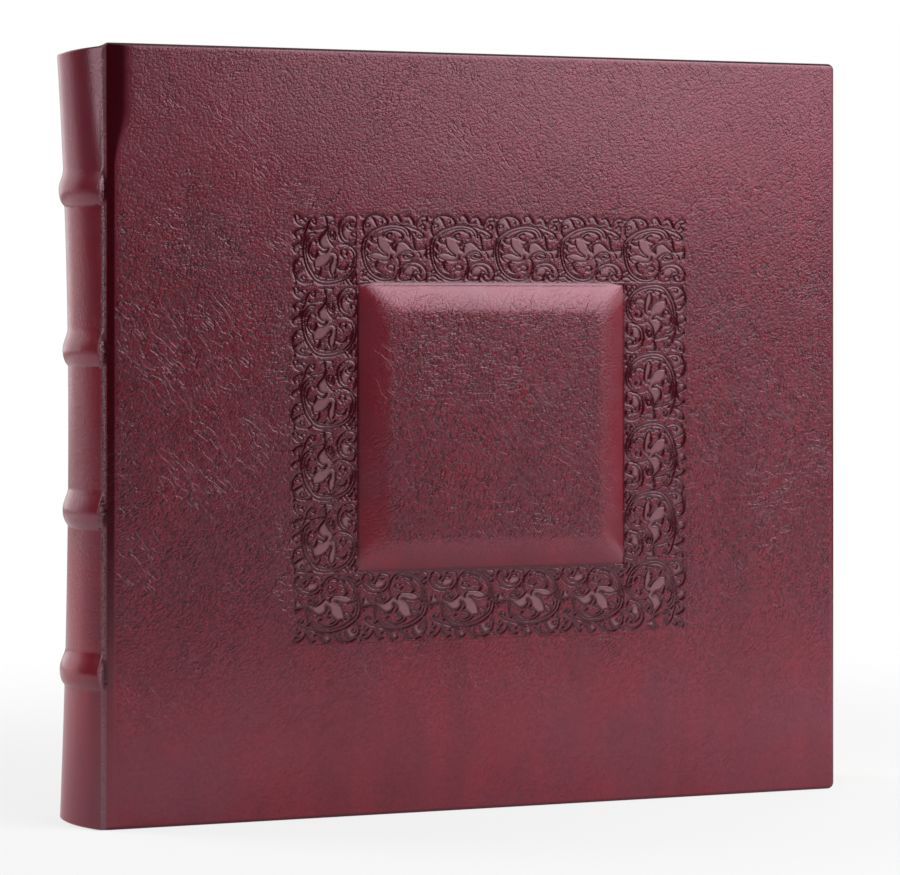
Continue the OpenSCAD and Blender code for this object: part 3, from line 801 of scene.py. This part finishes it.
def spine_flare(z):
    """Extra bulge towards head and tail."""
    level = 2 * z / head_z - 1
    return np.where(level > 0, 5.6 * mm * np.abs(level) ** 2.1, 4.0 * mm * np.abs(level) ** 1.8)


def spine_arc(z):
    """Radius, axis and half angle of the arc from joint to joint at a height."""
    bulge = spine_bulge + spine_flare(z)
    drop = joint_drop(joint_x, z)
    chord = thickness / 2 - drop
    radius = (chord ** 2 + bulge ** 2) / (2 * bulge)
    return radius, joint_x + radius - bulge, np.arcsin(chord / radius)


def band_bump(z, reach):
    """Height of the bands: a half cosine above each crest, and below it the curve of
    (1 - d ** 2) ** 0.7, which meets the spine in a crisp edge. They slope down to the joints."""
    total = np.zeros(np.broadcast(z, reach).shape)
    for place in band_places:
        above = z - (place - 1.2 * mm)
        over = (0.5 + 0.5 * np.cos(math.pi * np.clip(above / (9.5 * mm), 0, 1))) ** 0.85
        under = np.clip(1 - (above / (6.6 * mm)) ** 2, 0, 1) ** 0.7
        total = np.maximum(total, np.where(above > 0, over, under))
    return band_rise * total * smooth_step(reach, -shoulder_run, -0.8 * mm)


def spine_point(share, z, inset, raised=1.0):
    """A point of the spine: share runs from -1 at the front seam to 1 at the back seam."""
    radius, axis, half = spine_arc(z)
    seam = half - shoulder_run / radius
    angle = share * seam
    reach = (seam - np.abs(angle)) * radius
    out = radius + raised * band_bump(z, reach) * np.clip(2 - inset / mm, 0, 1) - inset
    x, y = axis - out * np.cos(angle), (front_y + back_y) / 2 + out * np.sin(angle)
    return np.stack(np.broadcast_arrays(x, y, z), -1)


def cap_dip(share):
    """How much lower the cap lies between the joints: a soft V, deepest in the middle."""
    return 2.3 * mm * (1.08 - np.sqrt(share ** 2 + 0.03)) - 0.1 * mm


cap_radius, cap_depth, cap_turn_in = 1.2 * mm, 2.4 * mm, 9 * mm
skin_depth, fold_depth = 0.95 * mm, 1.9 * mm
bend = np.radians(np.linspace(0, 90, 7))
cap = [(cap_radius * (1 - math.cos(a)), cap_radius * (1 - math.sin(a))) for a in bend[1:]]
cap += [(cap_depth - cap_radius * (1 - math.sin(a)), cap_radius * (1 - math.cos(a))) for a in bend]
cap += [(cap_depth, cap_turn_in), (fold_depth, cap_turn_in + 0.4 * mm)]
cap += [(fold_depth, 3.9 * mm), (skin_depth, 3.8 * mm)]
outer_wall = spaced([cap_radius, spine_head - cap_radius], 0.8 * mm)
inner_wall = spaced([3.8 * mm, spine_head - 3.8 * mm], 1.2 * mm)[-2::-1]
path = [(0.0, z) for z in outer_wall] + [(depth, spine_head - z) for depth, z in cap]
path += [(skin_depth, z) for z in inner_wall] + cap[-2::-1]
depths, heights = np.array(path).T
share, inset = np.meshgrid(np.linspace(-1, 1, 81), depths)
z = heights[:, None]
near_head = np.clip((z - spine_head + 40 * mm) / (40 * mm), 0, 1)
near_tail = np.clip(1 - z / (25 * mm), 0, 1)
z = z + cap_dip(share) * (0.7 * near_tail ** 2 - near_head ** 2)
points = spine_point(share, z, inset).transpose(1, 0, 2)
spine_skin = capped("spine_leather_skin", points, leather, {"taut": np.full(share.size, 0.82)}, "book_block")
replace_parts(spine_skin, "spine_leather")


# The leather over each joint, which flexes as the cover opens: from the spine's arc over the
# shoulder and on to the cover, in one skin with both.
joint_points = 17


def joint_path(z):
    """Section of the outer surface at heights z: a short arc, a rounded shoulder, a short slope."""
    radius, axis, half = spine_arc(z)
    seam = half - shoulder_run / radius
    middle = (front_y + back_y) / 2
    begin = np.stack([axis - radius * np.cos(seam), middle - radius * np.sin(seam)], -1)
    tangent = np.stack([np.sin(seam), -np.cos(seam)], -1)
    end_x = np.full(z.shape, joint_x + joint_strip)
    finish = np.stack([end_x, front_y - front_relief(end_x, z)], -1)
    step = 0.05 * mm
    ahead = np.stack([end_x + step, front_y - front_relief(end_x + step, z)], -1)
    slope = (ahead - finish) / step
    lead = 0.45 * np.linalg.norm(finish - begin, axis=-1)[..., None]
    first, second = begin + tangent * lead, finish - slope * lead
    share = np.linspace(0, 1, joint_points)[:, None, None]
    return ((1 - share) ** 3 * begin + 3 * (1 - share) ** 2 * share * first
            + 3 * (1 - share) * share ** 2 * second + share ** 3 * finish)


def joint_leather(name, side):
    """The flexing skin at one joint, with ends rounded over between those of spine and cover."""
    share = np.linspace(0, 1, joint_points)
    nose = cap_radius + (edge_radius - cap_radius) * share
    high = spine_head + (head_z - spine_head) * share
    tail = [(nose * (1 - math.sin(a)), nose * (1 - math.cos(a))) for a in bend[::-1]]
    levels = tail + [(z + 0 * share, 0 * share) for z in spaced([2.4 * mm, spine_head - 2.4 * mm], 0.8 * mm)]
    levels += [(high - z, sink) for z, sink in tail[::-1]]
    heights, sinks = np.array([z for z, _ in levels]), np.array([sink for _, sink in levels])
    section = joint_path(heights[:, 0])
    along = np.gradient(section, axis=0)
    inwards = np.stack([-along[..., 1], along[..., 0]], -1)
    inwards = inwards / np.linalg.norm(inwards, axis=-1)[..., None]
    section, inwards = section.transpose(1, 0, 2), inwards.transpose(1, 0, 2)
    from_end = np.minimum(heights, high - heights)
    wall = (0.95 + 1.05 * np.clip(1.6 - from_end / (3 * mm), 0, 1)) * mm
    raised = band_bump(heights, -share * (shoulder_run + joint_strip))
    outer = np.dstack([section + inwards * (sinks - raised)[..., None], heights])
    inner = np.dstack([section + inwards * (wall - raised)[..., None], heights])
    if side > 0:
        outer[..., 1], inner[..., 1] = front_y + back_y - outer[..., 1], front_y + back_y - inner[..., 1]
    # Painted shade where each band drops down to the joint, for the dark reflection there, on top of the
    # painted shade of the joint's slope.
    dropped = smooth_step(1 - raised / np.maximum(band_bump(heights, 1.0), 0.3 * band_rise), 0.3, 0.8)
    banded = band_bump(heights, 1.0) / band_rise
    burnish_and_shade = np.maximum(joint_shade(outer[..., 0], outer[..., 2]), 0.95 * banded * dropped)
    # Painted highlight along the shoulder ridge: a lighter colour through the polish mark, with more grain
    # there to break it up.
    ridge = smooth_step(share, 0.9, 0.72) * smooth_step(share, 0.1, 0.34)
    ridge = np.broadcast_to(ridge, burnish_and_shade.shape)
    marks = {"taut": 0.82 - 0.6 * ridge, "burnish_and_shade": burnish_and_shade, "polish_and_sheen": 0.9 * ridge * (1 - banded * dropped)}
    made = between(name, outer, inner, leather, marks, None)
    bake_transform(made)
    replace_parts(made, "spine_leather")


joint_leather("front_joint_leather", -1)
joint_leather("back_joint_leather", 1)


# The plain materials inside: grey board, manila card, felt, undyed leather, linen, silk,
# marbled endpaper and ivory card.
def fibres(tree, point, size, long=4.0):
    """Matted fibres: noise drawn out along two directions, mixed."""
    first = tree.noise(tree.spread(point, (1 / long, 1, 1)), size, 3.0, 0.6, 0.4)
    second = tree.noise(tree.spread(point, (1, 1, 1 / long)), size, 3.0, 0.6, 0.4)
    return first * 0.5 + second * 0.5


def paper_finish(name, pale, toned, roughness, coarse=1.0, edge_tone=0.0):
    """Card or board: matted fibres, flecks, and toning that grows towards the outer edges."""
    tree, point = material(name)
    web = fibres(tree, point, 0.9 * coarse)
    cloud = tree.noise(point, 38, 3.0, 0.55)
    fleck = tree.noise(point, 0.5 * coarse, 1.0).ramp(0.68, 0.76)
    colour = tree.mix(cloud.ramp(0.35, 0.7) * 0.5 + web.ramp(0.4, 0.62) * 0.25, pale, toned)
    colour = tree.mix(fleck * 0.35, colour, tuple(0.45 * part for part in toned[:3]) + (1,))
    if edge_tone:
        x, z = tree.part(point, 0), tree.part(point, 2)
        rim = z.ramp(head_z / mm - 16, head_z / mm - 4).most(z.ramp(16, 4))
        rim = rim.most(x.ramp(fore_x / mm - 18, fore_x / mm - 4))
        colour = tree.mix(rim * edge_tone * cloud.ramp(0.2, 0.8, 0.6, 1), colour, toned)
    return tree.surface(colour, roughness + web * 0.15, web * 0.05 * coarse, {"Specular IOR Level": 0.25})


def woven_finish(name, pale, shaded, pitch):
    """Plain weave: threads of the given pitch over and under each other, as a product of sines."""
    tree, point = material(name)
    warp = (tree.part(tree.bent(point, 9, 0.5), 1) * (2 * math.pi / pitch)).math("SINE")
    weft = (tree.part(tree.bent(point, 7, 0.5), 2) * (2 * math.pi / pitch)).math("SINE")
    thread = warp * weft * 0.5 + 0.5
    slub = tree.noise(tree.spread(point, (1, 1, 0.1)), 0.8, 2.0)
    colour = tree.mix(thread * 0.6 + slub.ramp(0.35, 0.65) * 0.4, shaded, pale)
    return tree.surface(colour, 0.85 + slub * 0.1, thread * 0.14, {"Sheen Weight": 0.3})


def silk_finish(name):
    """Two silks worked over a core: red and cream in turn, each a row of fine threads."""
    tree, point = material(name)
    along = tree.mark("along")
    part = (along / 3.4).math("FRACT")
    cream = part.ramp(0.47, 0.5) * part.ramp(0.99, 0.96)
    thread = (along * (2 * math.pi / 0.42)).math("SINE") * 0.5 + 0.5
    worn = tree.noise(point, 1.4, 2.0)
    colour = tree.mix(cream, (0.3, 0.015, 0.022, 1), (0.74, 0.62, 0.42, 1))
    # Painted shade between the fine threads, with a few darker worn spots.
    colour = tree.mix((1 - thread) * 0.5 + worn.ramp(0.5, 0.7) * 0.2, colour, (0.09, 0.02, 0.02, 1))
    return tree.surface(colour, 0.36 + worn * 0.15, thread * 0.12, {"Sheen Weight": 0.5})


def marbled_finish(name):
    """Combed marbling: colours floated in spots, drawn into stripes and combed into waves."""
    tree, point = material(name)
    drawn = tree.bent(tree.spread(tree.bent(point, 70, 46), (1, 1, 0.42)), 15, 13)
    spots = tree.noise(drawn, 17, 2.0, 0.45, 0.7)
    veins = tree.noise(drawn, 9, 2.0, 0.5, 1.0)
    colour = tree.mix(spots.ramp(0.4, 0.43), (0.2, 0.016, 0.022, 1), (0.62, 0.5, 0.31, 1))
    colour = tree.mix(spots.ramp(0.5, 0.52), colour, (0.27, 0.105, 0.06, 1))
    colour = tree.mix(spots.ramp(0.57, 0.59), colour, (0.1, 0.13, 0.115, 1))
    colour = tree.mix(spots.ramp(0.63, 0.65), colour, (0.66, 0.55, 0.37, 1))
    line = (veins - 0.5).math("ABSOLUTE")
    colour = tree.mix(line.ramp(0.012, 0.004) * 0.8, colour, (0.72, 0.62, 0.44, 1))
    web = fibres(tree, point, 0.7)
    return tree.surface(colour, 0.55 + web * 0.2, web * 0.03, {})


def felt_finish(name):
    """Pressed felt: tangled fibres in soft clumps."""
    tree, point = material(name)
    tangle = fibres(tree, tree.bent(point, 2.2, 2.0), 0.55, 7)
    clump = tree.noise(point, 4.5, 3.0, 0.6)
    colour = tree.mix(tangle.ramp(0.38, 0.62), (0.42, 0.36, 0.29, 1), (0.68, 0.61, 0.51, 1))
    colour = tree.mix(clump.ramp(0.5, 0.7) * 0.25, colour, (0.36, 0.3, 0.25, 1))
    return tree.surface(colour, 0.9 + tangle * 0.1, tangle * 0.3 + clump * 0.2, {"Sheen Weight": 0.4})


def undyed_finish(name):
    """Undyed leather strip: a fine grain and a few darker pores."""
    tree, point = material(name)
    grain = tree.noise(point, 0.8, 4.0, 0.65)
    pores = tree.noise(point, 0.35, 1.0).ramp(0.64, 0.74)
    cloud = tree.noise(point, 14, 2.0)
    colour = tree.mix(cloud.ramp(0.35, 0.65), (0.5, 0.25, 0.13, 1), (0.38, 0.17, 0.08, 1))
    colour = tree.mix(pores * 0.5, colour, (0.2, 0.08, 0.04, 1))
    return tree.surface(colour, 0.55 + grain * 0.2, grain * 0.12, {})


board = paper_finish("grey_board", (0.27, 0.245, 0.21, 1), (0.17, 0.145, 0.115, 1), 0.8, 1.8)
finishes = {
    "burgundy_leather": leather,
    "grey_board": board,
    "manila_card": paper_finish("manila_card", (0.68, 0.55, 0.36, 1), (0.5, 0.36, 0.2, 1), 0.7),
    "ivory_leaf": paper_finish("ivory_leaf", (0.84, 0.76, 0.6, 1), (0.62, 0.48, 0.28, 1), 0.72, 0.8, 0.55),
    "endpaper": marbled_finish("endpaper"),
    "felt_pad": felt_finish("felt_pad"),
    "band_core": undyed_finish("band_core"),
    "linen": woven_finish("linen", (0.66, 0.58, 0.45, 1), (0.36, 0.29, 0.2, 1), 0.62),
    "silk_bead": silk_finish("silk_bead"),
}
for subpart in frame["record"]["subparts"]:
    node = frame["nodes"][subpart["node"]]
    node.data.materials.clear()
    node.data.materials.append(finishes[subpart["material_slot"]])


# Inside the covers: each grey board keeps a leather's thickness under its skin, and the felt
# pad lies on the front board under the panel's leather.
def board_core(name, relief, plane, side, body, node):
    """A board whose outer face follows the relief, with a flat inner face 4.2 mm deep."""
    xs = np.concatenate([spaced([joint_x + 1.1 * mm, joint_x + 17 * mm], 1.4 * mm)[:-1],
                         spaced([joint_x + 17 * mm, fore_x - 1.1 * mm], 8 * mm)])
    x, z = np.meshgrid(xs, spaced([1.1 * mm, head_z - 1.1 * mm], 8 * mm))
    outer = np.dstack([x, plane + side * (relief(x, z) - 1.03 * mm), z])
    inner = np.dstack([x, np.full(x.shape, plane - side * 4.18 * mm), z])
    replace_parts(between(name, outer, inner, board, None, body), node)


board_core("front_grey_board", front_relief, front_y, -1, "front_cover", "front_board")
board_core("back_grey_board", back_relief, back_y, 1, "back_cover", "back_board")

half = panel_base / 2 - 1.2 * mm
x, z = np.meshgrid(panel_x + np.linspace(-half, half, 70), panel_z + np.linspace(-half, half, 70))
base_y = front_y - front_relief(x, z) + 0.98 * mm
outer, inner = np.dstack([x, base_y - panel_height(x, z), z]), np.dstack([x, base_y, z])
pad = between("panel_felt", outer, inner, finishes["felt_pad"], None, "front_cover")
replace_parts(pad, "panel_pad")


# Under the spine's leather: the band cores on a curved card, and a flat paper tube whose inner
# wall is glued to the linen over the sewn back.
middle_y = (front_y + back_y) / 2
round_bulge = 11 * mm
round_radius = ((thickness / 2) ** 2 + round_bulge ** 2) / (2 * round_bulge)
round_axis = joint_x + round_radius - round_bulge


def round_point(angle, z, radius):
    """A point of the book's rounded back, at an angle from its middle."""
    x, y = round_axis - radius * np.cos(angle), middle_y + radius * np.sin(angle)
    return np.stack(np.broadcast_arrays(x, y, z), -1)


for number, place in enumerate(band_places, 1):
    share, z = np.meshgrid(np.linspace(-0.96, 0.96, 41), place + np.linspace(-7.4, 9.4, 25) * mm)
    outer, inner = spine_point(share, z, 1.0 * mm), spine_point(share, z, 1.04 * mm, 0)
    core = between(f"band_core_{number}", outer, inner, finishes["band_core"], None, "book_block")
    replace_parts(core, f"raised_band_{number}")

share, z = np.meshgrid(np.linspace(-0.93, 0.93, 41), spaced([4 * mm, head_z - 5.5 * mm], 6 * mm))
outer, inner = spine_point(share, z, 1.08 * mm, 0), spine_point(share, z, 1.72 * mm, 0)
card = between("spine_card", outer, inner, board, None, "book_block")
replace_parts(card, "spine_stiffener")

tube_low, tube_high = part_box("hollow_tube")
lining_low, lining_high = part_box("spine_lining")
half_turn = math.asin((lining_high[1] - lining_low[1]) / 2 / (round_radius - 3.9 * mm))
levels = spaced([tube_low[2], tube_high[2]], 8 * mm)[:, None]
free_wall = spine_point(np.linspace(-0.84, 0.84, 33)[None, :], levels, 1.95 * mm, 0)
glued_wall = round_point(np.linspace(half_turn, -half_turn, 33)[None, :], levels, round_radius - 3.72 * mm)
loop = np.concatenate([free_wall, glued_wall], 1)
along = np.roll(loop, -1, 1) - np.roll(loop, 1, 1)
outwards = np.stack([-along[..., 1], along[..., 0], 0 * along[..., 0]], -1)
outwards = outwards / np.linalg.norm(outwards, axis=-1)[..., None] * 0.14 * mm
rows, columns = loop.shape[:2]
skins = np.concatenate([(loop + outwards).reshape(-1, 3), (loop - outwards).reshape(-1, 3)])
size = rows * columns
faces = quads(rows, columns, 0, wrap=True) + quads(rows, columns, size, wrap=True)
for row in (0, rows - 1):
    ring = row * columns + np.arange(columns)
    faces += bridge(ring, ring + size)
tube = shell("paper_tube", skins, faces, finishes["manila_card"], None, "book_block")
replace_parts(tube, "hollow_tube")


# The sewn back: linen glued over it, sewing tapes under the linen, twisted cords through the
# stubs, and worked silk bands at head and tail.
cloth_thickness = 0.46 * mm
linen_radius = round_radius - 3.92 * mm
tape_radius = round_radius - 4.52 * mm
tape_width = 18 * mm


def cloth_strip(name, node, low_z, high_z, radius):
    """Cloth laid over the rounded back, with edges that wander by a few tenths of a millimetre."""
    angle, z = np.meshgrid(np.linspace(-half_turn, half_turn, 41), np.linspace(low_z, high_z, 31))
    level = (z - (low_z + high_z) / 2) / ((high_z - low_z) / 2)
    z = z + level ** 8 * 0.25 * mm * np.sin(angle * 37 + level) - level ** 8 * np.sign(level) * 0.25 * mm
    outer, inner = round_point(angle, z, radius), round_point(angle, z, radius - cloth_thickness)
    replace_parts(between(name, outer, inner, finishes["linen"], None, "book_block"), node)


cloth_strip("spine_linen", "spine_lining", lining_low[2], lining_high[2], linen_radius)
for number, place in enumerate(band_places, 1):
    low, high = place - tape_width / 2, place + tape_width / 2
    cloth_strip(f"sewing_tape_{number}", "sewing_tapes", low, high, tape_radius)

cords_low, cords_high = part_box("sewing_cords")
cord_radius = (cords_high[0] - cords_low[0]) / 2
turn, run = np.meshgrid(np.linspace(0, 2 * math.pi, 18, endpoint=False),
                        np.linspace(cords_low[1], cords_high[1], 90))
swell = cord_radius * (0.84 + 0.16 * np.abs(np.cos(1.5 * (turn - 2 * math.pi * run / (5 * mm)))))
for number, place in enumerate(np.linspace(cords_low[2] + cord_radius, cords_high[2] - cord_radius, 5), 1):
    points = np.dstack([cords_low[0] + cord_radius + swell * np.cos(turn), run,
                        place + swell * np.sin(turn)])
    cord = capped(f"twisted_cord_{number}", points, finishes["linen"], None, "book_block", 60)
    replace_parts(cord, "sewing_cords")


def worked_band(name, node, level, upwards):
    """A bead round the end of the back with its tape behind: one closed section along the arc."""
    bead = np.radians(np.linspace(-62, 242, 17))
    section = [(0.15 + 0.9 * math.cos(a), 0.9 * math.sin(a)) for a in bead]
    section = np.array(section + [(-0.2, -1.2), (-0.2, -12), (0.2, -12)]) * mm
    angle = np.linspace(-half_turn, half_turn, 121)[:, None]
    ridge = 0.05 * mm * np.sin(angle * 31 * 2 * math.pi / 0.84)
    out = round_radius - 4.75 * mm + section[:, 0][None, :] + ridge
    points = round_point(angle, level + upwards * section[:, 1][None, :], out)
    along = np.broadcast_to((angle + half_turn) * 31, points.shape[:2])
    made = capped(name, points, finishes["silk_bead"], {"along": along.ravel()}, "book_block", 60)
    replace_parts(made, node)


worked_band("silk_headband", "headband", head_z - 4.0 * mm, 1)
worked_band("silk_tailband", "tailband", 4.0 * mm, -1)
